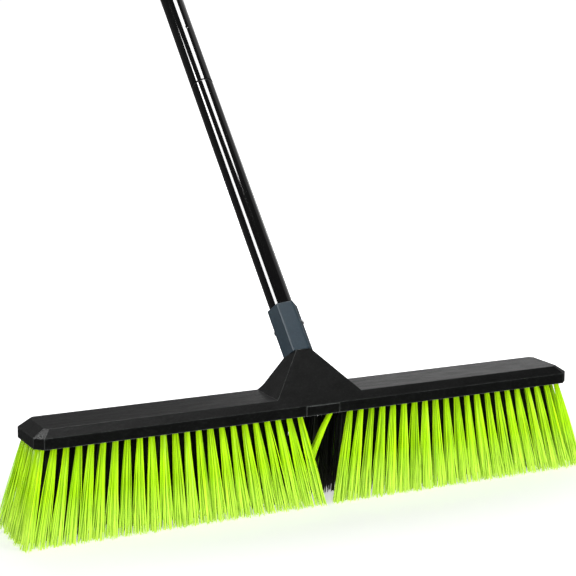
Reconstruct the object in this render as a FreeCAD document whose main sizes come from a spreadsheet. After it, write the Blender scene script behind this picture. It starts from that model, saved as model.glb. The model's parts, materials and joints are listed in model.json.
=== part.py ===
"""Push broom: a moulded block with a socket hood, rows of bristle tufts, and a
handle of five threaded steel tubes screwed in through a grip collar.

Frame, in millimetres: X runs along the block, +Y towards the handle, +Z up.
The origin is the middle of the block in X and Y, on the floor under the bristles.
Lengths along the handle are measured from the point where its axis meets the
block's top face.
"""
import FreeCAD
import Part
import math
import os
import re
from FreeCAD import Placement, Rotation, Vector
import Sketcher

DRIVING_SIZES = {
    # block
    "block_length": 610,
    "block_width": 63,
    "bristle_length": 94,
    "side_height": 10.75,
    "bevel_height": 7.66,
    "end_inset": 11.5,
    "corner_cut": 8.3,
    "edge_round": 0.8,
    "pad_half_width": 19,
    "pad_rise": 0.5,
    # socket hood and its bore
    "handle_tilt": 42.64,
    "axis_foot": -5.4,
    "hood_top": 42.0,
    "hood_half_base": 48,
    "hood_side_fold": 20,
    "hood_sink": 2,
    "hood_flat_half": 8.2,
    "hood_corner": 17.3,
    "socket_bottom": 14,
    "socket_radius": 9.3,
    # bristle tufts
    "hole_radius": 3.1,
    "hole_depth": 13,
    "tuft_root_radius": 3,
    "tuft_root_depth": 10.5,
    "tuft_foot_radius": 6.4,
    "inner_foot_radius": 5.6,
    "row_spacing": 12,
    "left_start": -24,
    "left_pitch": 12.4,
    "left_count": 23,
    "right_start": 35.5,
    "right_pitch": 12.8,
    "right_count": 21,
    "outward_lean": 21.7,
    "left_inner_lean": 19.5,
    "right_inner_lean": 9.9,
    "gap_tuft_lean": 40,
    "outer_splay": 13,
    "inner_splay": 6,
    "staple_width": 6,
    "staple_height": 1.6,
    "staple_thickness": 0.4,
    # grip collar
    "collar_bottom": 42.4,
    "collar_top": 100.1,
    "collar_corner": 17,
    "collar_corner_round": 3,
    "collar_rim_round": 1.4,
    "collar_turn": -10,
    "collar_shoulder": 50,
    "collar_throat_radius": 9.6,
    "rivet_height": 75.9,
    "rivet_shank_radius": 1.6,
    "rivet_head_radius": 3,
    "rivet_head_rise": 2.2,
    "rivet_tail_radius": 10.9,
    # threaded tip
    "tip_thread_radius": 9.25,
    "tip_bottom": 16.5,
    "tip_shank_radius": 11.1,
    "tip_top": 94,
    "tip_hollow_radius": 5.5,
    "tip_floor": 8,
    # tubes
    "tube_radius": 12.7,
    "tube_wall": 0.8,
    "tube_pitch": 298.3,
    "tube_count": 5,
    "joint_gap": 0.5,
    "dimple_height": 75,
    "dimple_radius": 3,
    "dimple_depth": 1.2,
    "dimple_boss_radius": 2.4,
    # threaded inserts and plugs between the tubes
    "insert_flange": 2.2,
    "insert_length": 30,
    "insert_bore_radius": 8.05,
    "insert_mouth": 0.8,
    "plug_thread_radius": 8,
    "plug_thread_length": 24,
    "plug_shank_radius": 11.5,
    "plug_shank_length": 84,
    "plug_hollow_radius": 5,
    "ring_groove_radius": 9.8,
    "ring_groove_half": 4,
    "chamfer": 1.5,
    # end cap
    "cap_plug_length": 25,
    "cap_flange_radius": 13.4,
    "cap_flange_height": 4,
    "cap_flange_slope": 1.2,
    "cap_tab_height": 26,
    "cap_tab_radius": 11,
    "cap_tab_thickness": 9,
    "cap_hole_radius": 4.5,
    # how far a cutting tool reaches past what it cuts
    "tool_reach": 2,
}

# the rivet head's dome: shares of the head's radius and of its rise
RIVET_DOME = ((1.0, 0.3), (0.75, 0.8), (0.35, 1.0))
# the insert's rounded lip: millimetres inside the tube's radius, and share of the flange left
INSERT_LIP = ((0.1, 1.0), (0.15, 0.5), (0.5, 0.18), (1.3, 0.0))

doc = FreeCAD.newDocument("PushBroom")
sheet = doc.addObject("Spreadsheet::Sheet", "Sizes")
for row, (alias, value) in enumerate(DRIVING_SIZES.items(), start=1):
    sheet.set(f"A{row}", alias)
    sheet.set(f"B{row}", str(value))
    sheet.setAlias(f"B{row}", alias)
doc.recompute()

PARTS = {}


def size(alias):
    """The number in the sheet's cell of that name."""
    return float(sheet.get(alias))


def value_of(expression):
    """What an expression of sheet cells comes to, as a plain number."""
    found = sheet.evalExpression(expression)
    return float(getattr(found, "Value", found))


def sized(text):
    """An expression with each sheet alias written as Sizes.alias."""
    def in_sheet(found):
        word = found.group(0)
        return f"Sizes.{word}" if word in DRIVING_SIZES else word

    return re.sub(r"[a-z_]+", in_sheet, text)


def on_handle(distance=0.0):
    """Placement on the handle's axis, local Z along it, local X along the block."""
    tilt = math.radians(size("handle_tilt"))
    top = size("bristle_length") + size("side_height") + size("bevel_height")
    foot = Vector(0, size("axis_foot"), top)
    along = Vector(0, math.sin(tilt), math.cos(tilt))
    return Placement(foot + along * distance, Rotation(Vector(1, 0, 0), -size("handle_tilt")))


def keep(name, feature, placement=None):
    """Names a finished sub-part and puts it in its place."""
    feature.Label = name
    if placement is not None:
        feature.Placement = placement
    PARTS[name] = feature
    return feature


def new_body(name):
    """An empty body."""
    body = doc.addObject("PartDesign::Body", name)
    body.Label = name
    return body


def new_sketch(body, name, role="XY_Plane", lift=None, offset=None):
    """A sketch on one of the body's own origin planes, lifted by an expression or an offset."""
    sketch = body.newObject("Sketcher::SketchObject", name)
    plane = next(item for item in body.Origin.OriginFeatures if item.Role == role)
    sketch.AttachmentSupport = [(plane, "")]
    sketch.MapMode = "FlatFace"
    if offset is not None:
        sketch.AttachmentOffset = offset
    if lift is not None:
        sketch.setExpression("AttachmentOffset.Base.z", sized(lift))
    return sketch


def polygon(sketch, corners):
    """Closed outline whose corners are pairs of expressions, each one a driving constraint."""
    points = [Vector(value_of(sized(a)), value_of(sized(b)), 0) for a, b in corners]
    first = sketch.GeometryCount
    count = len(points)
    for index, point in enumerate(points):
        sketch.addGeometry(Part.LineSegment(point, points[(index + 1) % count]), False)
    for index in range(count):
        after = first + (index + 1) % count
        sketch.addConstraint(Sketcher.Constraint("Coincident", first + index, 2, after, 1))
    for index, (point, corner) in enumerate(zip(points, corners)):
        for kind, value, text, axis in (
            ("DistanceX", point.x, corner[0], -2),
            ("DistanceY", point.y, corner[1], -1),
        ):
            if abs(value) < 1e-9:
                sketch.addConstraint(
                    Sketcher.Constraint("PointOnObject", first + index, 1, axis)
                )
                continue
            number = sketch.addConstraint(
                Sketcher.Constraint(kind, -1, 1, first + index, 1, value)
            )
            sketch.setExpression(f"Constraints[{number}]", sized(text))


def pad(body, sketch, length, name):
    """The sketch raised by a length, added to its body."""
    feature = body.newObject("PartDesign::Pad", name)
    feature.Profile = sketch
    feature.setExpression("Length", sized(length))
    return feature


def loft(body, lower, upper, name):
    """Flat walls from one outline to the other, added to their body."""
    feature = body.newObject("PartDesign::AdditiveLoft", name)
    feature.Profile = lower
    feature.Sections = [upper]
    feature.Ruled = True
    return feature


def turned(name, profile, cut=False, body=None):
    """A solid of revolution from (radius, height) expressions, added to or cut from a body."""
    body = body or new_body(name)
    sketch = new_sketch(body, f"{name}_profile", "XZ_Plane")
    polygon(sketch, profile)
    kind = "PartDesign::Groove" if cut else "PartDesign::Revolution"
    feature = body.newObject(kind, f"{name}_{'cut' if cut else 'turn'}")
    feature.Profile = sketch
    feature.ReferenceAxis = (sketch, ["V_Axis"])
    feature.Angle = 360
    return body


def rounded(body, base, edges, radius, name):
    """A fillet on the named edges of the body's last feature."""
    feature = body.newObject("PartDesign::Fillet", name)
    feature.Base = (base, edges)
    feature.setExpression("Radius", sized(radius))
    return feature


def combined(kind, base, tool, name):
    """A boolean of two objects: kind is Cut or Fuse."""
    feature = doc.addObject(f"Part::{kind}", name)
    feature.Base = base
    feature.Tool = tool
    feature.Refine = True
    return feature


# ---------------------------------------------------------------- block

TOP_HEIGHT = "bristle_length + side_height + bevel_height"
BEVEL_INSET = "bevel_height * tan(handle_tilt)"
TOP_HALF_WIDTH = f"( block_width / 2 - {BEVEL_INSET} )"
HOOD_DEPTH = f"( ( {TOP_HALF_WIDTH} + axis_foot ) * cos(handle_tilt) )"


def octagon(half_length, half_width, cut_length, cut_width):
    """Corners of a rectangle with cut corners, anticlockwise from the front left."""
    return [
        (f"- {half_length} + {cut_length}", f"- {half_width}"),
        (f"{half_length} - {cut_length}", f"- {half_width}"),
        (f"{half_length}", f"- {half_width} + {cut_width}"),
        (f"{half_length}", f"{half_width} - {cut_width}"),
        (f"{half_length} - {cut_length}", f"{half_width}"),
        (f"- {half_length} + {cut_length}", f"{half_width}"),
        (f"- {half_length}", f"{half_width} - {cut_width}"),
        (f"- {half_length}", f"- {half_width} + {cut_width}"),
    ]


def long_block():
    """The block without its hood: upright sides, bevel, rounded edges, front pad."""
    body = new_body("long_block")
    outline = octagon("( block_length / 2 )", "( block_width / 2 )", "corner_cut", "corner_cut")
    base = new_sketch(body, "block_outline", lift="bristle_length")
    polygon(base, outline)
    pad(body, base, "side_height", "block_sides")

    lower = new_sketch(body, "bevel_lower", lift="bristle_length + side_height")
    polygon(lower, outline)
    upper = new_sketch(body, "bevel_upper", lift=TOP_HEIGHT)
    half_top = "( block_length / 2 - end_inset )"
    polygon(upper, octagon(half_top, TOP_HALF_WIDTH, "corner_cut / 2", "corner_cut / 2"))
    bevel = loft(body, lower, upper, "block_bevel")
    doc.recompute()
    above_underside = [
        f"Edge{number}"
        for number, edge in enumerate(bevel.Shape.Edges, start=1)
        if edge.BoundBox.ZMax > size("bristle_length") + 0.01
    ]
    rounded(body, bevel, above_underside, "edge_round", "moulded_edges")

    pad_sketch = new_sketch(body, "front_pad_outline", lift="bristle_length")
    polygon(pad_sketch, [
        ("- pad_half_width", "- block_width / 2 - pad_rise"),
        ("pad_half_width", "- block_width / 2 - pad_rise"),
        ("pad_half_width", "- block_width / 2 + tool_reach"),
        ("- pad_half_width", "- block_width / 2 + tool_reach"),
    ])
    pad(body, pad_sketch, "side_height - edge_round", "front_pad")
    return body


def socket_hood():
    """The hood over the socket. Its front is the bevel's plane, carried up to the hood's rim,
    and its foot is sunk a little into the block so that the two melt together."""
    body = new_body("socket_hood")
    half_base = "( hood_half_base + hood_sink )"
    front = f"- {TOP_HALF_WIDTH} - hood_sink * tan(handle_tilt)"
    foot = new_sketch(body, "hood_foot", lift=f"{TOP_HEIGHT} - hood_sink")
    polygon(foot, [
        (f"- {half_base}", front),
        (half_base, front),
        (half_base, "hood_side_fold"),
        (half_base, TOP_HALF_WIDTH),
        (f"- {half_base}", TOP_HALF_WIDTH),
        (f"- {half_base}", "hood_side_fold"),
    ])
    rim = new_sketch(body, "hood_rim", offset=on_handle(size("hood_top")))
    polygon(rim, [
        ("- hood_flat_half", f"- {HOOD_DEPTH}"),
        ("hood_flat_half", f"- {HOOD_DEPTH}"),
        ("hood_corner", "0"),
        ("hood_flat_half", HOOD_DEPTH),
        ("- hood_flat_half", HOOD_DEPTH),
        ("- hood_corner", "0"),
    ])
    loft(body, foot, rim, "hood_walls")
    return body


def block_moulding():
    """The block's outside with its hood, and the bore of the socket."""
    whole = combined("Fuse", long_block(), socket_hood(), "hooded_block")
    bore = doc.addObject("Part::Cylinder", "socket_bore")
    bore.setExpression("Radius", sized("socket_radius"))
    bore.setExpression("Height", sized("hood_top - socket_bottom + tool_reach"))
    bore.Placement = on_handle(size("socket_bottom"))
    return combined("Cut", whole, bore, "block_moulding")


# ---------------------------------------------------------------- tufts

def left_columns():
    """X of each column of holes left of the hood, from the middle outwards."""
    return [
        size("left_start") - size("left_pitch") * step for step in range(int(size("left_count")))
    ]


def right_columns(extra=0):
    """X of each column right of the hood; extra columns start nearer the middle."""
    steps = range(-extra, int(size("right_count")))
    return [size("right_start") + size("right_pitch") * step for step in steps]


def middle_columns():
    """X of the two columns under the hood, evenly between the left and right ones."""
    left, right = left_columns()[0], right_columns(1)[0]
    return [left + (right - left) * share / 3 for share in (1, 2)]


def fading_lean(columns, inner_lean):
    """Lean along X of each column's tufts: inner_lean at the first, outwards at the last."""
    first, last = columns[0], columns[-1]
    outward = math.copysign(size("outward_lean"), last)
    return {
        column: inner_lean + (outward - inner_lean) * (column - first) / (last - first)
        for column in columns
    }


def tuft_plan():
    """Every tuft as node name: list of (root x, root y, foot x, foot y, foot radius)."""
    plan = {}
    splay = (0, size("inner_splay"), size("outer_splay"))
    spread = (size("inner_foot_radius"), size("inner_foot_radius"), size("tuft_foot_radius"))

    def plant(node, column, row, lean):
        y = row * size("row_spacing")
        foot_y = y + splay[abs(row)] * (1 if row > 0 else -1)
        tuft = (column, y, column + lean, foot_y, spread[abs(row)])
        plan.setdefault(node, []).append(tuft)

    middle_lean = -middle_columns()[-1]
    gap_column = right_columns(1)[0]
    front_lean = {"left": size("left_inner_lean"), "right": -size("right_inner_lean")}
    outer_columns = {"left": left_columns(), "right": right_columns()}
    inner_columns = {"left": left_columns(), "right": right_columns(1)}
    for side in ("left", "right"):
        for column, lean in fading_lean(outer_columns[side], front_lean[side]).items():
            plant(f"front_tufts_{side}", column, -2, lean)
        for column, lean in fading_lean(outer_columns[side], 0).items():
            plant(f"back_tufts_{side}", column, 2, lean)
        leans = fading_lean(inner_columns[side], middle_lean)
        end_column = inner_columns[side][-1]
        for row in (-1, 0, 1):
            plant(f"end_tufts_{side}", end_column, row, leans[end_column])
            for column in inner_columns[side][:-1]:
                if row != -1 or column != gap_column:
                    plant(f"inner_tufts_{side}", column, row, leans[column])
    for row in (0, 1):
        for column in middle_columns():
            plant("middle_tufts", column, row, middle_lean)
    plant("gap_tuft", gap_column, -1, -size("gap_tuft_lean"))
    return plan


def tuft_solid(root_x, root_y, foot_x, foot_y, foot_radius):
    """One bundle of bristles: a round root in its hole, spreading to the floor."""
    bottom = size("bristle_length")
    up = Vector(0, 0, 1)
    top_ring = Part.Circle(Vector(root_x, root_y, bottom), up, size("tuft_root_radius"))
    foot_ring = Part.Circle(Vector(foot_x, foot_y, 0), up, foot_radius)
    rings = [Part.Wire(ring.toShape()) for ring in (top_ring, foot_ring)]
    spread = Part.makeLoft(rings, True, True)
    root = Part.makeCylinder(
        size("tuft_root_radius"), size("tuft_root_depth"), Vector(root_x, root_y, bottom)
    )
    return spread.fuse(root)


def staple_solid(root_x, root_y):
    """The flat wire anchor that holds a folded tuft in its hole."""
    level = size("bristle_length") + size("tuft_root_depth")
    corner = Vector(
        root_x - size("staple_width") / 2, root_y - size("staple_thickness") / 2, level
    )
    return Part.makeBox(
        size("staple_width"), size("staple_thickness"), size("staple_height"), corner
    )


def build_tufts():
    """Each row's tufts as one node, the staples as another; gives the roots' places."""
    roots = []
    for node, tufts in tuft_plan().items():
        feature = doc.addObject("Part::Feature", node)
        feature.Shape = Part.makeCompound([tuft_solid(*tuft) for tuft in tufts])
        keep(node, feature, Placement())
        roots += [(tuft[0], tuft[1]) for tuft in tufts]
    staples = doc.addObject("Part::Feature", "tuft_staples")
    staples.Shape = Part.makeCompound([staple_solid(*root) for root in roots])
    keep("tuft_staples", staples, Placement())
    return roots


def build_block(roots):
    """The moulding with its blind tuft holes."""
    moulding = block_moulding()
    depth = size("hole_depth")
    reach = size("tool_reach")
    below = size("bristle_length") - reach
    holes = doc.addObject("Part::Feature", "tuft_holes")
    holes.Shape = Part.makeCompound([
        Part.makeCylinder(size("hole_radius"), depth + reach, Vector(x, y, below))
        for x, y in roots
    ])
    block = combined("Cut", moulding, holes, "broom_block")
    doc.recompute()
    drilled = len(roots) * math.pi * size("hole_radius") ** 2 * depth
    lost = moulding.Shape.Volume - block.Shape.Volume
    print("tuft holes", len(roots), "expected", round(drilled), "cut", round(lost))
    keep("broom_block", block)


# ---------------------------------------------------------------- collar and tip

def side_pegs(name, radius, inner, outer, height, angles):
    """Radial cylinders between two radii, as one tool."""
    pegs = []
    for index, angle in enumerate(angles):
        peg = doc.addObject("Part::Cylinder", f"{name}_{index}")
        peg.setExpression("Radius", sized(radius))
        peg.setExpression("Height", sized(f"({outer}) - ({inner})"))
        turn = Rotation(Vector(0, 0, 1), angle)
        reach = turn.multVec(Vector(value_of(sized(inner)), 0, 0))
        lift = Vector(0, 0, value_of(sized(height)))
        peg.Placement = Placement(reach + lift, turn * Rotation(Vector(0, 1, 0), 90))
        pegs.append(peg)
    group = doc.addObject("Part::Compound", name)
    group.Links = pegs
    return group


def rivet_angles():
    """The two opposite flats of the collar that carry a rivet."""
    return [size("collar_turn") - 30, size("collar_turn") + 150]


def build_collar():
    """Six-sided grip collar: rounded corners, rounded top rim, stepped bore, rivet holes."""
    body = new_body("collar_blank")
    outline = new_sketch(body, "collar_outline", lift="collar_bottom")
    polygon(outline, [
        (
            f"collar_corner * cos(collar_turn + {60 * corner})",
            f"collar_corner * sin(collar_turn + {60 * corner})",
        )
        for corner in range(6)
    ])
    blank = pad(body, outline, "collar_top - collar_bottom", "collar_block")
    doc.recompute()
    upright = [
        f"Edge{number}"
        for number, edge in enumerate(blank.Shape.Edges, start=1)
        if edge.BoundBox.ZLength > 1
    ]
    soft = rounded(body, blank, upright, "collar_corner_round", "collar_corners")
    doc.recompute()
    rim = [
        f"Edge{number}"
        for number, edge in enumerate(soft.Shape.Edges, start=1)
        if edge.BoundBox.ZMin > size("collar_top") - 0.01
    ]
    rounded(body, soft, rim, "collar_rim_round", "collar_rim")
    turned("collar_bore", [
        ("0", "collar_bottom - tool_reach"),
        ("collar_throat_radius", "collar_bottom - tool_reach"),
        ("collar_throat_radius", "collar_shoulder"),
        ("tube_radius", "collar_shoulder"),
        ("tube_radius", "collar_top + tool_reach"),
        ("0", "collar_top + tool_reach"),
    ], cut=True, body=body)
    holes = side_pegs(
        "collar_rivet_holes", "rivet_shank_radius", "tube_radius - tool_reach",
        "collar_corner + tool_reach", "rivet_height", rivet_angles(),
    )
    keep("grip_collar", combined("Cut", body, holes, "grip_collar"), on_handle())


def build_rivets():
    """Two domed rivets, through the collar and the lower tube into the tip's ring groove."""
    rivets = []
    flat = f"( collar_corner * {math.cos(math.radians(30)):.6f} )"
    for index, angle in enumerate(rivet_angles()):
        rivet = turned(f"rivet_{index}", [
            ("0", "rivet_tail_radius"),
            ("rivet_shank_radius", "rivet_tail_radius"),
            ("rivet_shank_radius", flat),
            ("rivet_head_radius", flat),
            *(
                (f"rivet_head_radius * {wide}", f"{flat} + rivet_head_rise * {high}")
                for wide, high in RIVET_DOME
            ),
            ("0", f"{flat} + rivet_head_rise"),
        ])
        turn = Rotation(Vector(0, 0, 1), angle) * Rotation(Vector(0, 1, 0), 90)
        rivet.Placement = Placement(Vector(0, 0, size("rivet_height")), turn)
        rivets.append(rivet)
    group = doc.addObject("Part::Compound", "collar_rivets")
    group.Links = rivets
    keep("collar_rivets", group, on_handle())


def build_tip():
    """Threaded tip that screws into the block; its shank is held in the lower tube."""
    body = turned("threaded_tip", [
        ("0", "tip_bottom"),
        ("tip_thread_radius - chamfer", "tip_bottom"),
        ("tip_thread_radius", "tip_bottom + chamfer"),
        ("tip_thread_radius", "collar_shoulder + joint_gap"),
        ("tip_shank_radius", "collar_shoulder + joint_gap"),
        ("tip_shank_radius", "rivet_height - ring_groove_half"),
        ("ring_groove_radius", "rivet_height - ring_groove_half"),
        ("ring_groove_radius", "rivet_height + ring_groove_half"),
        ("tip_shank_radius", "rivet_height + ring_groove_half"),
        ("tip_shank_radius", "tip_top"),
        ("tip_hollow_radius", "tip_top"),
        ("tip_hollow_radius", "tip_bottom + tip_floor"),
        ("0", "tip_bottom + tip_floor"),
    ])
    keep("threaded_tip", body, on_handle())


# ---------------------------------------------------------------- tubes

def seam(number):
    """Where tube number ends at its top, from the axis foot."""
    return size("collar_top") + size("tube_pitch") * number


def tube_blank(number, length):
    """A plain length of tube standing on its own local origin."""
    tube = doc.addObject("Part::Cylinder", f"tube_{number}_outside")
    hollow = doc.addObject("Part::Cylinder", f"tube_{number}_inside")
    tube.setExpression("Radius", sized("tube_radius"))
    hollow.setExpression("Radius", sized("tube_radius - tube_wall"))
    for cylinder in (tube, hollow):
        cylinder.setExpression("Height", sized(length))
    return combined("Cut", tube, hollow, f"tube_{number}_pipe")


def build_lower_tube():
    """The first tube stands on the collar's shoulder and has the two rivet holes."""
    pipe = tube_blank(1, "collar_top + tube_pitch - insert_flange - collar_shoulder")
    holes = side_pegs(
        "tube_rivet_holes", "rivet_shank_radius", "tube_radius - tube_wall - tool_reach",
        "tube_radius + tool_reach", "rivet_height - collar_shoulder", rivet_angles(),
    )
    tube = combined("Cut", pipe, holes, "tube_1")
    keep("tube_1", tube, on_handle(size("collar_shoulder")))


def build_upper_tube(number):
    """A tube whose lower end is staked onto its plug by two opposite dimples."""
    is_last = number == int(size("tube_count"))
    top_room = "0" if is_last else "insert_flange"
    pipe = tube_blank(number, f"tube_pitch - joint_gap - {top_room}")
    height = "dimple_height - joint_gap"
    bosses = side_pegs(
        f"tube_{number}_bosses", "dimple_boss_radius",
        "tube_radius - tube_wall - dimple_depth * 0.8", "tube_radius - tube_wall / 2",
        height, (-90, 90),
    )
    dents = []
    for index, side in enumerate((-1, 1)):
        dent = doc.addObject("Part::Sphere", f"tube_{number}_dent_{index}")
        dent.setExpression("Radius", sized("dimple_radius"))
        reach = size("tube_radius") + size("dimple_radius") - size("dimple_depth")
        dent.Placement = Placement(
            Vector(0, side * reach, value_of(sized(height))), Rotation()
        )
        dents.append(dent)
    tool = doc.addObject("Part::Compound", f"tube_{number}_dents")
    tool.Links = dents
    swollen = combined("Fuse", pipe, bosses, f"tube_{number}_swollen")
    tube = combined("Cut", swollen, tool, f"tube_{number}")
    keep(f"tube_{number}", tube, on_handle(seam(number - 1) + size("joint_gap")))


def build_insert(number):
    """Flanged bush with the female thread, pressed into the top of a tube."""
    body = turned(f"threaded_insert_{number}", [
        ("insert_bore_radius", "- insert_length"),
        ("tube_radius - tube_wall", "- insert_length"),
        ("tube_radius - tube_wall", "- insert_flange"),
        *((f"tube_radius - {inside}", f"- insert_flange * {left}") for inside, left in INSERT_LIP),
        ("insert_bore_radius + insert_mouth", "0"),
        ("insert_bore_radius", "- insert_mouth"),
    ])
    keep(f"threaded_insert_{number}", body, on_handle(seam(number)))


def build_plug(number):
    """Threaded plug in the foot of a tube, with the ring groove that its dimples enter."""
    body = turned(f"threaded_plug_{number}", [
        ("plug_hollow_radius", "- plug_thread_length"),
        ("plug_thread_radius - chamfer", "- plug_thread_length"),
        ("plug_thread_radius", "- plug_thread_length + chamfer"),
        ("plug_thread_radius", "joint_gap"),
        ("plug_shank_radius", "joint_gap"),
        ("plug_shank_radius", "dimple_height - ring_groove_half"),
        ("ring_groove_radius", "dimple_height - ring_groove_half"),
        ("ring_groove_radius", "dimple_height + ring_groove_half"),
        ("plug_shank_radius", "dimple_height + ring_groove_half"),
        ("plug_shank_radius", "plug_shank_length"),
        ("plug_hollow_radius", "plug_shank_length"),
    ])
    keep(f"threaded_plug_{number}", body, on_handle(seam(number - 1)))


def build_cap():
    """End cap pressed into the last tube, with a flat tab and a hanging hole."""
    body = turned("cap_blank", [
        ("0", "- cap_plug_length"),
        ("tube_radius - tube_wall - chamfer", "- cap_plug_length"),
        ("tube_radius - tube_wall", "- cap_plug_length + chamfer"),
        ("tube_radius - tube_wall", "0"),
        ("cap_flange_radius", "0"),
        ("cap_flange_radius", "cap_flange_height * 0.6"),
        ("cap_flange_radius - cap_flange_slope", "cap_flange_height"),
        ("0", "cap_flange_height"),
    ])
    half_thick = size("cap_tab_thickness") / 2
    middle = size("cap_flange_height") + size("cap_tab_height") - size("cap_tab_radius")
    across = Rotation(Vector(1, 0, 0), 90)
    tab = doc.addObject("Part::Cylinder", "cap_tab_round")
    tab.setExpression("Radius", sized("cap_tab_radius"))
    tab.setExpression("Height", sized("cap_tab_thickness"))
    tab.Placement = Placement(Vector(0, half_thick, middle), across)
    neck_foot = size("cap_flange_height") / 2
    neck = doc.addObject("Part::Box", "cap_tab_neck")
    neck.setExpression("Length", sized("cap_tab_radius * 2"))
    neck.setExpression("Width", sized("cap_tab_thickness"))
    neck.Height = middle - neck_foot
    neck.Placement = Placement(Vector(-size("cap_tab_radius"), -half_thick, neck_foot), Rotation())
    hole = doc.addObject("Part::Cylinder", "cap_hole")
    hole.setExpression("Radius", sized("cap_hole_radius"))
    hole.setExpression("Height", sized("cap_tab_thickness * 2"))
    hole.Placement = Placement(Vector(0, half_thick * 2, middle), across)
    flag = combined("Fuse", tab, neck, "cap_tab")
    solid = combined("Fuse", body, flag, "cap_solid")
    last_seam = seam(int(size("tube_count")))
    keep("hang_cap", combined("Cut", solid, hole, "hang_cap"), on_handle(last_seam))


def check_and_write():
    """Stops on any failed object or sub-part, then writes one STEP file for each sub-part."""
    doc.recompute()
    bad = [item.Name for item in doc.Objects if {"Invalid", "Error"} & set(item.State)]
    if bad:
        raise RuntimeError(f"failed objects: {bad}")
    os.makedirs("parts", exist_ok=True)
    for name, feature in PARTS.items():
        shape = feature.Shape
        if shape.isNull() or not shape.isValid() or not shape.Solids:
            raise RuntimeError(f"bad shape: {name}")
        print(f"{name:24s} solids {len(shape.Solids):3d} volume {shape.Volume:12.1f}")
        shape.exportStep(os.path.join("parts", f"{name}.step"))


build_block(build_tufts())
build_collar()
build_rivets()
build_tip()
build_lower_tube()
for tube_number in range(2, int(size("tube_count")) + 1):
    build_insert(tube_number - 1)
    build_plug(tube_number)
    build_upper_tube(tube_number)
build_cap()
check_and_write()
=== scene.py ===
"""Looks of the push broom: real filaments in the tufts, cut threads, plastics and enamel."""
import json
import math

import bpy
import numpy as np
from mathutils import Matrix, Quaternion, Vector


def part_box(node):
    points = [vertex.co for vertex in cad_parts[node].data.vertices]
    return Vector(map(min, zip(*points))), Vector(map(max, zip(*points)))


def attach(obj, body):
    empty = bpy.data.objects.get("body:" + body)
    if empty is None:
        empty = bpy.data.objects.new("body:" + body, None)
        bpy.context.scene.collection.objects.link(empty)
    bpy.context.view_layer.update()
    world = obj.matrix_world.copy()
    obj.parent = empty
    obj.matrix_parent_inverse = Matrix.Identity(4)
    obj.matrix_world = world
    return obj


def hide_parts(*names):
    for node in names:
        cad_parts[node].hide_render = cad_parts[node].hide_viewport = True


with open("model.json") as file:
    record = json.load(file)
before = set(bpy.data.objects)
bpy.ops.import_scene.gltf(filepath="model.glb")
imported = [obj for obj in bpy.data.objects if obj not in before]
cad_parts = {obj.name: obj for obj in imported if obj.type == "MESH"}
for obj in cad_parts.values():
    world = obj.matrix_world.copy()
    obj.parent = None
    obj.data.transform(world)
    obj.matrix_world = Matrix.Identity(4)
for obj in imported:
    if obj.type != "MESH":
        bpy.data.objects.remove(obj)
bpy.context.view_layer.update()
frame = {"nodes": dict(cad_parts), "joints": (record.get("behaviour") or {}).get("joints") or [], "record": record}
NODES = frame["nodes"]
SLOT_OF = {part["node"]: part["material_slot"] for part in frame["record"]["subparts"]}
JOINTS = {joint["name"]: joint for joint in frame["joints"]}
RNG = np.random.default_rng(428)
FULL_TURN = 2 * math.pi

# The photograph's viewing angle, in the frame's axes.
CAMERA_PLACE = Vector((-0.8088, -1.5314, 0.5577))
CAMERA_TARGET = Vector((-0.0250, 0.0, 0.22115))
CAMERA_ROLL = math.radians(0.34)
CAMERA_LENS = 108.41
CAMERA_SENSOR = 36.0
CAMERA_FAR = 50.0

# The block's underside, and the handle's line from the mouth of the socket upward.
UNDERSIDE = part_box("broom_block")[0].z
AXIS = Vector(JOINTS["socket_thread_lift"]["axis"]).normalized()
SOCKET = Vector(JOINTS["socket_thread_turn"]["pos_m"])
ACROSS = Vector((1.0, 0.0, 0.0))


# ------------------------------------------------------------------ shared helpers

MIX_FACTOR = 0
MIX_FIRST = 6
MIX_SECOND = 7
MIX_RESULT = 2


def add_object(name, data):
    """A new object in the scene."""
    added = bpy.data.objects.new(name, data)
    bpy.context.scene.collection.objects.link(added)
    return added


def new_material(name):
    """A node material with its Principled shader."""
    material = bpy.data.materials.new(name)
    material.use_nodes = True
    shader = material.node_tree.nodes["Principled BSDF"]
    return material, material.node_tree, shader


def add_node(tree, kind, **values):
    """A node with its properties set, or its inputs where the name is an input."""
    node = tree.nodes.new(kind)
    for key, value in values.items():
        if key in node.inputs.keys():
            node.inputs[key].default_value = value
        else:
            setattr(node, key, value)
    return node


def noise(tree, scale, detail, stretch=(1, 1, 1), roughness=0.5):
    """Noise in object space, scale per metre, stretched along an axis if asked."""
    place = add_node(tree, "ShaderNodeTexCoord")
    mapping = add_node(tree, "ShaderNodeMapping", Scale=stretch)
    pattern = add_node(tree, "ShaderNodeTexNoise", Scale=scale, Detail=detail, Roughness=roughness)
    tree.links.new(place.outputs["Object"], mapping.inputs["Vector"])
    tree.links.new(mapping.outputs["Vector"], pattern.inputs["Vector"])
    return pattern.outputs["Fac"]


def ramp(tree, source, stops):
    """A colour ramp from (position, colour) stops."""
    node = add_node(tree, "ShaderNodeValToRGB")
    elements = node.color_ramp.elements
    while len(elements) < len(stops):
        elements.new(0.5)
    for element, (position, colour) in zip(elements, stops):
        element.position = position
        element.color = (*colour, 1.0)
    tree.links.new(source, node.inputs["Fac"])
    return node.outputs["Color"]


def spread(tree, source, low, high, from_low=0.0, from_high=1.0):
    """A value mapped from one range to another."""
    node = add_node(tree, "ShaderNodeMapRange")
    node.inputs["From Min"].default_value = from_low
    node.inputs["From Max"].default_value = from_high
    node.inputs["To Min"].default_value = low
    node.inputs["To Max"].default_value = high
    tree.links.new(source, node.inputs["Value"])
    return node.outputs["Result"]


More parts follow.
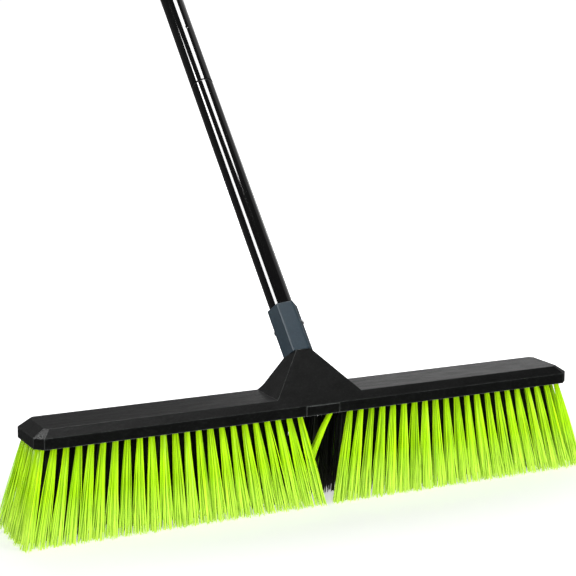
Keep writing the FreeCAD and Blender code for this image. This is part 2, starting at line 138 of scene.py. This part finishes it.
def mixed(tree, factor, first, second):
    """A colour socket mixed with a plain colour."""
    node = add_node(tree, "ShaderNodeMix", data_type="RGBA")
    tree.links.new(factor, node.inputs[MIX_FACTOR])
    tree.links.new(first, node.inputs[MIX_FIRST])
    node.inputs[MIX_SECOND].default_value = (*second, 1.0)
    return node.outputs[MIX_RESULT]


def bump(tree, shader, height, strength, distance, below=None):
    """Bump from a height socket, on top of an earlier bump if given."""
    node = add_node(tree, "ShaderNodeBump", Strength=strength, Distance=distance)
    tree.links.new(height, node.inputs["Height"])
    if below is not None:
        tree.links.new(below, node.inputs["Normal"])
    tree.links.new(node.outputs["Normal"], shader.inputs["Normal"])
    return node.outputs["Normal"]


def attribute(tree, name):
    """A named value stored on the mesh."""
    node = add_node(tree, "ShaderNodeAttribute", attribute_name=name)
    return node.outputs["Fac"]


# ------------------------------------------------------------------ materials

EDGE_RADIUS = 0.0009
BLUE_GREY_DARK = (0.0175, 0.030, 0.042)
BLUE_GREY_LIGHT = (0.0225, 0.038, 0.051)


def edge_mask(tree):
    """How near a point is to a convex edge, from how far a rounded normal turns there."""
    rounded = add_node(tree, "ShaderNodeBevel", Radius=EDGE_RADIUS)
    plain = add_node(tree, "ShaderNodeNewGeometry")
    agree = add_node(tree, "ShaderNodeVectorMath", operation="DOT_PRODUCT")
    tree.links.new(rounded.outputs["Normal"], agree.inputs[0])
    tree.links.new(plain.outputs["Normal"], agree.inputs[1])
    return spread(tree, agree.outputs["Value"], low=1.0, high=0.0, from_low=0.935, from_high=0.998)


def moulded_plastic(name, dark, light, rough, grain, shine=0.4, edge=4.0, fleck=1.3):
    """Moulded plastic: slow cloudiness, spark-eroded grain, faint scuffs and a painted highlight on convex edges,
    lightened in patches. Edge and fleck are how many times paler the painted edge highlight and the flecks are."""
    material, tree, shader = new_material(name)
    cloud = noise(tree, scale=38.0, detail=5.0)
    clouded = ramp(tree, cloud, [(0.3, dark), (0.72, light)])
    speck = noise(tree, scale=520.0, detail=2.0)
    flecks = spread(tree, speck, low=0.0, high=0.6, from_low=0.52, from_high=0.75)
    flecked = mixed(tree, flecks, clouded, [value * fleck for value in light])
    patch = noise(tree, scale=120.0, detail=4.0)
    patches = spread(tree, patch, low=0.25, high=0.9, from_low=0.3, from_high=0.7)
    # Painted highlight: convex edges made paler in patches, standing in for light caught on crests and rims.
    painted_edge_highlight = add_node(tree, "ShaderNodeMath", operation="MULTIPLY")
    tree.links.new(edge_mask(tree), painted_edge_highlight.inputs[0])
    tree.links.new(patches, painted_edge_highlight.inputs[1])
    edge_highlight_colour = [min(1.0, value * edge) for value in light]
    coloured = mixed(tree, painted_edge_highlight.outputs[0], flecked, edge_highlight_colour)
    tree.links.new(coloured, shader.inputs["Base Color"])
    scuff = noise(tree, scale=90.0, detail=8.0, stretch=(0.35, 1.6, 1.0), roughness=0.65)
    dulled = spread(tree, scuff, low=rough - 0.06, high=rough + 0.1, from_low=0.3, from_high=0.75)
    tree.links.new(dulled, shader.inputs["Roughness"])
    shader.inputs["Specular IOR Level"].default_value = shine
    fine = noise(tree, scale=1500.0, detail=3.0)
    coarse = noise(tree, scale=300.0, detail=3.0)
    lower = bump(tree, shader, fine, strength=grain, distance=0.0002)
    bump(tree, shader, coarse, strength=0.5 * grain, distance=0.0007, below=lower)
    return material


def enamelled_steel():
    """Gloss black baked enamel with faint paler specks and a slight smear in its gloss."""
    material, tree, shader = new_material("gloss_black_enamel")
    specks = noise(tree, scale=420.0, detail=2.0)
    black = ramp(tree, specks, [(0.45, (0.0008, 0.0008, 0.0009)), (0.8, (0.003, 0.003, 0.003))])
    tree.links.new(black, shader.inputs["Base Color"])
    smear = noise(tree, scale=60.0, detail=6.0, roughness=0.6)
    gloss = spread(tree, smear, low=0.05, high=0.09, from_low=0.3, from_high=0.75)
    tree.links.new(gloss, shader.inputs["Roughness"])
    shader.inputs["Coat Weight"].default_value = 0.25
    shader.inputs["Coat Roughness"].default_value = 0.05
    return material


def bright_steel(name, tint, rough):
    """Bright plated steel with fine turning marks."""
    material, tree, shader = new_material(name)
    marks = noise(tree, scale=900.0, detail=4.0, stretch=(1, 1, 6))
    light = [min(1.0, value * 1.15) for value in tint]
    tree.links.new(ramp(tree, marks, [(0.3, tint), (0.7, light)]), shader.inputs["Base Color"])
    tree.links.new(spread(tree, marks, low=rough, high=rough + 0.12), shader.inputs["Roughness"])
    shader.inputs["Metallic"].default_value = 1.0
    bump(tree, shader, marks, strength=0.15, distance=0.00008)
    return material


def bristle(name, shade, body, bright, tip, streak):
    """Extruded filament: colour by strand, painted shade darkening it toward the root, pale at the cut tip."""
    material, tree, shader = new_material(name)
    strand = attribute(tree, "strand")
    along = attribute(tree, "along")
    by_strand = ramp(tree, strand, [(0.0, shade), (0.35, body), (0.85, bright), (1.0, streak)])
    # Painted shade: the lower part of each filament is mixed toward the dark strand colour, standing in for shade
    # among the tufts under the block.
    painted_root_shade = spread(tree, along, low=0.5, high=0.0, from_low=0.0, from_high=0.3)
    root_shaded = mixed(tree, painted_root_shade, by_strand, shade)
    tip_share = spread(tree, along, low=0.0, high=0.8, from_low=0.5, from_high=1.0)
    tipped = mixed(tree, tip_share, root_shaded, tip)
    draw = noise(tree, scale=160.0, detail=3.0, stretch=(1, 1, 0.12))
    draw_share = spread(tree, draw, low=0.0, high=0.35, from_low=0.45, from_high=0.8)
    streaked = mixed(tree, draw_share, tipped, shade)
    tree.links.new(streaked, shader.inputs["Base Color"])
    tree.links.new(spread(tree, draw, low=0.3, high=0.48), shader.inputs["Roughness"])
    shader.inputs["Specular IOR Level"].default_value = 0.45
    bump(tree, shader, draw, strength=0.1, distance=0.0001)
    return material


MATERIALS = {
    # The block's large edge factor paints bright highlight lines along its crests and rims.
    "block_plastic": moulded_plastic(
        "block_plastic", dark=(0.0012, 0.0013, 0.0012), light=(0.0024, 0.0026, 0.0025),
        rough=0.44, grain=0.7, shine=0.26, edge=60.0, fleck=4.0,
    ),
    "collar_plastic": moulded_plastic(
        "collar_plastic", BLUE_GREY_DARK, BLUE_GREY_LIGHT, rough=0.42, grain=0.15, shine=0.3, edge=1.4,
    ),
    "cap_plastic": moulded_plastic(
        "cap_plastic", BLUE_GREY_DARK, BLUE_GREY_LIGHT, rough=0.44, grain=0.15, shine=0.3, edge=1.4,
    ),
    "thread_plastic": moulded_plastic(
        "thread_plastic", dark=(0.012, 0.012, 0.0125), light=(0.02, 0.02, 0.021), rough=0.38, grain=0.1,
    ),
    "insert_plastic": moulded_plastic(
        "insert_plastic", dark=(0.008, 0.008, 0.008), light=(0.014, 0.014, 0.014), rough=0.2, grain=0.05,
    ),
    "tube_paint": enamelled_steel(),
    "rivet_steel": bright_steel("rivet_steel", tint=(0.68, 0.69, 0.70), rough=0.2),
    "staple_steel": bright_steel("staple_steel", tint=(0.55, 0.56, 0.57), rough=0.35),
    "green_bristle": bristle(
        "green_bristle", shade=(0.13, 0.30, 0.0010), body=(0.44, 0.80, 0.0015),
        bright=(0.60, 0.98, 0.003), tip=(0.70, 0.98, 0.13), streak=(0.58, 0.95, 0.09),
    ),
    "black_bristle": bristle(
        "black_bristle", shade=(0.002, 0.002, 0.002), body=(0.0045, 0.0045, 0.0045),
        bright=(0.008, 0.008, 0.008), tip=(0.03, 0.032, 0.025), streak=(0.05, 0.055, 0.045),
    ),
}


def dress_frame():
    """Gives every CAD node the material of its slot."""
    for name, node in NODES.items():
        material = MATERIALS[SLOT_OF[name]]
        if not node.data.materials:
            node.data.materials.append(material)
        for index in range(len(node.data.materials)):
            node.data.materials[index] = material


# ------------------------------------------------------------------ bristles

WELD_DIGITS = 6
ROOT_BAND = 1e-5
FOOT_BAND = 1e-4

RINGS = 6
SIDES = 5
RING_SHARES = np.linspace(0, 1, RINGS) ** 0.92
FILAMENT_RADIUS = 0.00046
RADIUS_SPREAD = (0.85, 1.15)
TIP_TAPER = 0.72
GOLDEN_ANGLE = 2.399963
ROOT_FILL = 0.97
FOOT_FILL = 0.86
FOOT_SCATTER = 0.16
SPLAY_POWER = 1.12
BOW = 0.0007
CUT_UNEVENNESS = 0.0011
FLOOR_GAP = 0.0002
ROOT_DEPTH = 0.002
TUFT_TONE = 0.12
STRAND_TONE = 2.2

TUFT_FILAMENTS = 50
INNER_FILAMENTS = 34
MIDDLE_FILAMENTS = 60
GAP_FILAMENTS = 44
RIGHT_FRONT_SWEEP = -0.013


def tufts_of(node):
    """Each tuft of a CAD node as (root centre, foot centre, root radius, foot radius)."""
    mesh = NODES[node].data
    points = np.array([vertex.co for vertex in mesh.vertices])
    keys = {}
    same = [keys.setdefault(tuple(np.round(point, WELD_DIGITS)), len(keys)) for point in points]
    parent = list(range(len(keys)))

    def root_of(item):
        while parent[item] != item:
            parent[item] = parent[parent[item]]
            item = parent[item]
        return item

    for face in mesh.polygons:
        first = root_of(same[face.vertices[0]])
        for corner in face.vertices[1:]:
            parent[root_of(same[corner])] = first
    groups = {}
    for index, key in enumerate(same):
        groups.setdefault(root_of(key), []).append(index)
    found = []
    for members in groups.values():
        body = points[members]
        root = body[body[:, 2] > body[:, 2].max() - ROOT_BAND]
        foot = body[body[:, 2] < FOOT_BAND]
        rings = [np.unique(np.round(ring, WELD_DIGITS), axis=0)[:, :2] for ring in (root, foot)]
        middles = [ring.mean(axis=0) for ring in rings]
        radii = [
            np.linalg.norm(ring[:, :2] - middle, axis=1).max()
            for ring, middle in zip((root, foot), middles)
        ]
        found.append((*middles, *radii))
    return sorted(found, key=lambda tuft: (tuft[0][0], tuft[0][1]))


def filament_paths(tuft, count, bend, fray):
    """Centre lines of one tuft's filaments, count x RINGS x 3, and their radii."""
    root, foot, root_radius, foot_radius = tuft
    turn = RNG.uniform(0, FULL_TURN) + np.arange(count) * GOLDEN_ANGLE
    ring = np.sqrt((np.arange(count) + 0.5) / count)
    packed = np.stack([np.cos(turn), np.sin(turn)], axis=1) * ring[:, None]
    start = root + packed * (root_radius - FILAMENT_RADIUS) * ROOT_FILL
    loose = RNG.normal(0, FOOT_SCATTER, (count, 2))
    splayed = packed * FOOT_FILL + loose
    length = np.linalg.norm(splayed, axis=1, keepdims=True)
    splayed = splayed / np.maximum(length, 1.0)
    end = foot + splayed * foot_radius * fray
    drift = (1 - (1 - RING_SHARES) ** bend)[None, :, None]
    opening = (RING_SHARES ** SPLAY_POWER)[None, :, None]
    middle_line = root + (foot - root) * drift
    fan = (start - root)[:, None, :] * (1 - opening) + (end - foot)[:, None, :] * opening
    bow = RNG.normal(0, BOW, (count, 1, 2)) * np.sin(math.pi * RING_SHARES)[None, :, None]
    flat = middle_line + fan + bow
    rise = np.abs(RNG.normal(0.0, CUT_UNEVENNESS, count)) + FLOOR_GAP
    top = UNDERSIDE + ROOT_DEPTH
    height = top + (rise[:, None] - top) * RING_SHARES[None, :]
    path = np.concatenate([flat, height[:, :, None]], axis=2)
    thick = np.full((count, RINGS), FILAMENT_RADIUS)
    thick *= RNG.uniform(*RADIUS_SPREAD, (count, 1))
    thick[:, -1] *= TIP_TAPER
    return path, thick


def filament_mesh(name, path, thick, strand):
    """One mesh of closed filaments round their centre lines, each with its strand's value."""
    total = len(path)
    around = np.arange(SIDES) * FULL_TURN / SIDES
    spin = RNG.uniform(0, FULL_TURN, total)[:, None] + around[None, :]
    circle = np.stack([np.cos(spin), np.sin(spin), np.zeros_like(spin)], axis=2)
    points = path[:, :, None, :] + circle[:, None, :, :] * thick[:, :, None, None]
    base = (np.arange(total) * RINGS * SIDES)[:, None, None]
    level = (np.arange(RINGS - 1) * SIDES)[None, :, None]
    side = np.arange(SIDES)[None, None, :]
    after = (side + 1) % SIDES
    walls = np.stack([
        base + level + after, base + level + side,
        base + level + SIDES + side, base + level + SIDES + after,
    ], axis=3).reshape(-1, 4)
    tips = base[:, 0, :] + (RINGS - 1) * SIDES + np.arange(SIDES)[None, ::-1]
    roots = base[:, 0, :] + np.arange(SIDES)[None, :]
    mesh = bpy.data.meshes.new(name)
    mesh.from_pydata(
        points.reshape(-1, 3).tolist(), [], walls.tolist() + tips.tolist() + roots.tolist()
    )
    smooth = np.ones(len(mesh.polygons), dtype=bool)
    smooth[len(walls):] = False
    mesh.polygons.foreach_set("use_smooth", smooth)
    for key, values in (
        ("strand", np.repeat(strand, RINGS * SIDES)),
        ("along", np.tile(np.repeat(RING_SHARES, SIDES), total)),
    ):
        layer = mesh.attributes.new(key, "FLOAT", "POINT")
        layer.data.foreach_set("value", values.astype(np.float32))
    mesh.update()
    return mesh


def bristle_piece(name, node, count, bend=1.0, fray=1.0, sweep=0.0):
    """One mesh of separate filaments that stands for a CAD tuft node. A sweep carries the
    feet along X, most at the tuft nearest the middle of the block and not at all at its end."""
    tufts = tufts_of(node)
    reach = max(abs(root[0]) for root, *_ in tufts)
    paths, widths, strands = [], [], []
    for root, foot, *radii in tufts:
        fade = (1 - abs(root[0]) / reach) ** 2
        swept = foot + np.array((sweep * fade, 0.0))
        path, thick = filament_paths((root, swept, *radii), count, bend, fray)
        paths.append(path)
        widths.append(thick)
        tone = RNG.uniform(-TUFT_TONE, TUFT_TONE)
        strands.append(np.clip(RNG.beta(STRAND_TONE, STRAND_TONE, count) + tone, 0, 1))
    mesh = filament_mesh(name, np.concatenate(paths), np.concatenate(widths), np.concatenate(strands))
    mesh.materials.append(MATERIALS[SLOT_OF[node]])
    piece = add_object(name, mesh)
    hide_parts(node)
    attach(piece, "head")


# ------------------------------------------------------------------ threads

CLOSE = 1e-5
CLOSE_DIGITS = 5
THREAD_SIDES = 64
STEPS_PER_PITCH = 14
NECK_LENGTH = 0.0022
NECK_DEPTH = 0.8
CORNER = 0.00002
BEVEL_HEIGHT = 0.0008
BEVEL_DEPTH = 0.0006
LEAD_IN = 0.6
LEAD_IN_DEPTH = 0.0008
FLANK_SLOPE = 4
ROOT_WIDTH = 0.45
SHARP_ANGLE = math.radians(40)


def turned_mesh(name, radius_at, heights, bore, floor):
    """A closed turned piece about the handle's axis, bored down to a floor or right through;
    radius_at gives the outer radius at a height and angle."""
    angles = np.arange(THREAD_SIDES) * FULL_TURN / THREAD_SIDES
    rows = [[radius_at(height, angle) for angle in angles] for height in heights]
    rows += [[bore] * THREAD_SIDES, [bore] * THREAD_SIDES]
    levels = [*heights, heights[-1], floor]
    down = AXIS.cross(ACROSS)
    points = []
    for row, level in zip(rows, levels):
        for angle, radius in zip(angles, row):
            spot = SOCKET + AXIS * level
            spot = spot + ACROSS * (radius * math.cos(angle)) + down * (radius * math.sin(angle))
            points.append(spot[:])
    ring = range(THREAD_SIDES)
    last = (len(rows) - 1) * THREAD_SIDES
    faces = []
    for start in range(0, last, THREAD_SIDES):
        for side in ring:
            after = (side + 1) % THREAD_SIDES
            above = start + THREAD_SIDES
            faces.append((start + side, start + after, above + after, above + side))
    if floor > heights[0] + CLOSE:
        faces.append(tuple(ring)[::-1])
        faces.append(tuple(last + side for side in ring))
    else:
        for side in ring:
            after = (side + 1) % THREAD_SIDES
            faces.append((last + side, last + after, after, side))
    mesh = bpy.data.meshes.new(name)
    mesh.from_pydata(points, [], faces)
    mesh.update()
    return mesh


def axis_profile(node):
    """(height, sorted radii) steps of a turned CAD node along the handle's axis."""
    steps = {}
    for vertex in NODES[node].data.vertices:
        height = (vertex.co - SOCKET).dot(AXIS)
        radius = ((vertex.co - SOCKET) - AXIS * height).length
        steps.setdefault(round(height, CLOSE_DIGITS), set()).add(round(radius, CLOSE_DIGITS))
    return sorted((height, sorted(radii)) for height, radii in steps.items())


def threaded_piece(name, node, body, pitch, depth):
    """A tip or plug with its real helical thread below the shoulder."""
    profile = axis_profile(node)
    bottom = profile[0][0]
    top, (bore, *_, shank) = profile[-1]
    shoulder = next(height for height, radii in profile if radii[-1] > shank - CLOSE)
    crest = max(radii[-1] for height, radii in profile if height < shoulder - CLOSE)
    grooves = {
        height: radii[0] for height, radii in profile
        if height > shoulder + CLOSE and len(radii) == 2
        and radii[-1] <= shank + CLOSE and radii[0] > bore + 10 * CLOSE
    }
    groove_low, groove_high = min(grooves), max(grooves)
    floor = min(height for height, radii in profile if abs(radii[0] - bore) < 2 * CLOSE)
    step = pitch / STEPS_PER_PITCH
    heights = [
        *np.arange(bottom, shoulder - step / 2, step),
        shoulder, shoulder + CORNER,
        groove_low, groove_low + CORNER,
        groove_high, groove_high + CORNER,
        top - BEVEL_HEIGHT, top,
    ]

    def radius_at(height, angle):
        if height > shoulder + CORNER / 2:
            if groove_low + CORNER / 2 < height < groove_high + CORNER / 2:
                return grooves[groove_low]
            return shank - (BEVEL_DEPTH if height > top - CORNER else 0.0)
        if height > shoulder - NECK_LENGTH:
            return crest - depth * NECK_DEPTH
        lead = min(1.0, (height - bottom) / (pitch * LEAD_IN))
        turn = (height / pitch - angle / FULL_TURN) % 1.0
        ridge = min(1.0, max(0.0, (0.5 - abs(turn - 0.5)) * FLANK_SLOPE - ROOT_WIDTH))
        return crest - depth + depth * ridge * lead - (1 - lead) * LEAD_IN_DEPTH

    mesh = turned_mesh(name, radius_at, heights, bore, floor)
    mesh.polygons.foreach_set("use_smooth", [True] * len(mesh.polygons))
    mesh.set_sharp_from_angle(angle=SHARP_ANGLE)
    mesh.materials.append(MATERIALS["thread_plastic"])
    piece = add_object(name, mesh)
    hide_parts(node)
    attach(piece, body)


# ------------------------------------------------------------------ studio

WHITE = (1, 1, 1, 1)
BACKDROP_GLOW = 1.05
ROOM_GLOW = 0.10
FLOOR_HALF = 14.0
FLOOR_COLOUR = (0.86, 0.86, 0.86, 1)
FLOOR_STRETCH = (0.35, 1.0, 1.0)
LIT_MIDDLE = (0.0, 0.0, 0.1)


def build_camera():
    """The camera at the photograph's viewing angle, with plain colour output."""
    data = bpy.data.cameras.new("photo_camera")
    data.lens = CAMERA_LENS
    data.sensor_width = CAMERA_SENSOR
    data.clip_end = CAMERA_FAR
    camera = add_object("photo_camera", data)
    aim = (CAMERA_TARGET - CAMERA_PLACE).to_track_quat("-Z", "Y")
    camera.rotation_mode = "QUATERNION"
    camera.rotation_quaternion = aim @ Quaternion((0, 0, 1), CAMERA_ROLL)
    camera.location = CAMERA_PLACE
    bpy.context.scene.camera = camera
    bpy.context.scene.view_settings.view_transform = "Standard"


def area_light(name, place, target, width, height, power, up=None, glossy=True, shape="RECTANGLE"):
    """A soft flat light facing its target, its height along up if given."""
    data = bpy.data.lights.new(name, "AREA")
    data.shape = shape
    data.size = width
    data.size_y = height
    data.energy = power
    light = add_object(name, data)
    facing = (Vector(target) - Vector(place)).normalized()
    if up is None:
        light.rotation_euler = facing.to_track_quat("-Z", "Y").to_euler()
    else:
        side = facing.cross(up).normalized()
        upward = side.cross(facing)
        light.rotation_euler = Matrix((side, upward, -facing)).transposed().to_euler()
    light.location = place
    light.visible_camera = False
    light.visible_glossy = glossy
    return light


def glint_light(name, distance_up, shift_deg, reach, width, height, power):
    """A strip seen in the tube, placed where the tube mirrors the camera's view."""
    spot = SOCKET + AXIS * distance_up
    view = (CAMERA_PLACE - spot).normalized()
    flat = (view - AXIS * view.dot(AXIS)).normalized()
    normal = Quaternion(AXIS, math.radians(shift_deg)) @ flat
    mirrored = (normal * (2 * view.dot(normal)) - view).normalized()
    place = spot + mirrored * reach
    light = area_light(name, place, spot, width, height, power, up=AXIS, shape="ELLIPSE")
    light.visible_diffuse = False


def build_world():
    """White behind the object for the camera, and a dim white room for all other rays."""
    world = bpy.data.worlds.new("studio")
    bpy.context.scene.world = world
    world.use_nodes = True
    tree = world.node_tree
    backdrop = tree.nodes["Background"]
    backdrop.inputs["Color"].default_value = WHITE
    backdrop.inputs["Strength"].default_value = BACKDROP_GLOW
    room = add_node(tree, "ShaderNodeBackground", Color=WHITE, Strength=ROOM_GLOW)
    ray = add_node(tree, "ShaderNodeLightPath")
    choose = add_node(tree, "ShaderNodeMixShader")
    tree.links.new(ray.outputs["Is Camera Ray"], choose.inputs[0])
    tree.links.new(room.outputs[0], choose.inputs[1])
    tree.links.new(backdrop.outputs[0], choose.inputs[2])
    tree.links.new(choose.outputs[0], tree.nodes["World Output"].inputs[0])


def build_floor():
    """A matt white floor that glows more with distance, so that it meets the backdrop."""
    half = FLOOR_HALF
    mesh = bpy.data.meshes.new("floor")
    mesh.from_pydata(
        [(-half, -half, 0), (half, -half, 0), (half, half, 0), (-half, half, 0)], [], [(0, 1, 2, 3)]
    )
    floor = add_object("floor", mesh)
    material, tree, shader = new_material("floor_white")
    shader.inputs["Base Color"].default_value = FLOOR_COLOUR
    shader.inputs["Roughness"].default_value = 0.9
    shader.inputs["Specular IOR Level"].default_value = 0.1
    shader.inputs["Emission Color"].default_value = WHITE
    place = add_node(tree, "ShaderNodeTexCoord")
    along_block = add_node(tree, "ShaderNodeVectorMath", operation="MULTIPLY")
    along_block.inputs[1].default_value = FLOOR_STRETCH
    distance = add_node(tree, "ShaderNodeVectorMath", operation="LENGTH")
    tree.links.new(place.outputs["Object"], along_block.inputs[0])
    tree.links.new(along_block.outputs["Vector"], distance.inputs[0])
    glow = spread(tree, distance.outputs["Value"], low=0.52, high=1.3, from_low=0.10, from_high=0.55)
    tree.links.new(glow, shader.inputs["Emission Strength"])
    mesh.materials.append(material)
    floor.visible_glossy = False


def build_lights():
    """Large soft lights round the block, then the long lights mirrored in the tube."""
    for name, place, width, height, power, glossy in (
        ("key_front", (-0.9, -2.3, 1.3), 1.3, 1.3, 20, False),
        ("low_left_front", (-1.9, -1.6, 0.35), 0.9, 0.6, 30, False),
        ("low_right_front", (1.3, -2.2, 0.35), 1.2, 0.6, 52, False),
        ("top_back", (0.9, 1.5, 1.5), 1.6, 1.0, 3, True),
        ("low_back_right", (0.95, 1.05, 0.5), 0.9, 0.4, 1.7, True),
        ("back_fill", (0.2, 2.6, 0.9), 1.6, 1.2, 22, False),
    ):
        area_light(name, place, LIT_MIDDLE, width, height, power, glossy=glossy)
    for name, distance_up, shift_deg, reach, width, height, power in (
        ("glint_left", 0.085, -17.5, 1.2, 0.44, 0.80, 17),
        ("glint_left_thin", 0.35, -18.0, 1.2, 0.14, 0.20, 1.4),
        ("glint_right", 0.470, 14.5, 1.2, 0.56, 0.70, 20),
        ("glint_edge", 0.3, 55.0, 1.5, 1.3, 1.6, 1.6),
    ):
        glint_light(name, distance_up, shift_deg, reach, width, height, power)


build_camera()
build_world()
build_floor()
build_lights()
dress_frame()
for side in ("left", "right"):
    front_sweep = RIGHT_FRONT_SWEEP if side == "right" else 0.0
    bristle_piece(
        f"front_bristles_{side}", f"front_tufts_{side}", TUFT_FILAMENTS, fray=1.25, sweep=front_sweep
    )
    bristle_piece(f"back_bristles_{side}", f"back_tufts_{side}", TUFT_FILAMENTS, fray=1.25)
    bristle_piece(f"end_bristles_{side}", f"end_tufts_{side}", TUFT_FILAMENTS, fray=1.2)
    bristle_piece(f"inner_bristles_{side}", f"inner_tufts_{side}", INNER_FILAMENTS, fray=1.4)
bristle_piece("middle_bristles", "middle_tufts", MIDDLE_FILAMENTS, fray=1.9)
bristle_piece("gap_bristles", "gap_tuft", GAP_FILAMENTS, bend=1.6)
threaded_piece("cut_thread_tip", "threaded_tip", "tip", pitch=0.00508, depth=0.0011)
for number in range(2, 6):
    threaded_piece(
        f"cut_thread_plug_{number}", f"threaded_plug_{number}", f"plug_{number}", pitch=0.004, depth=0.001
    )
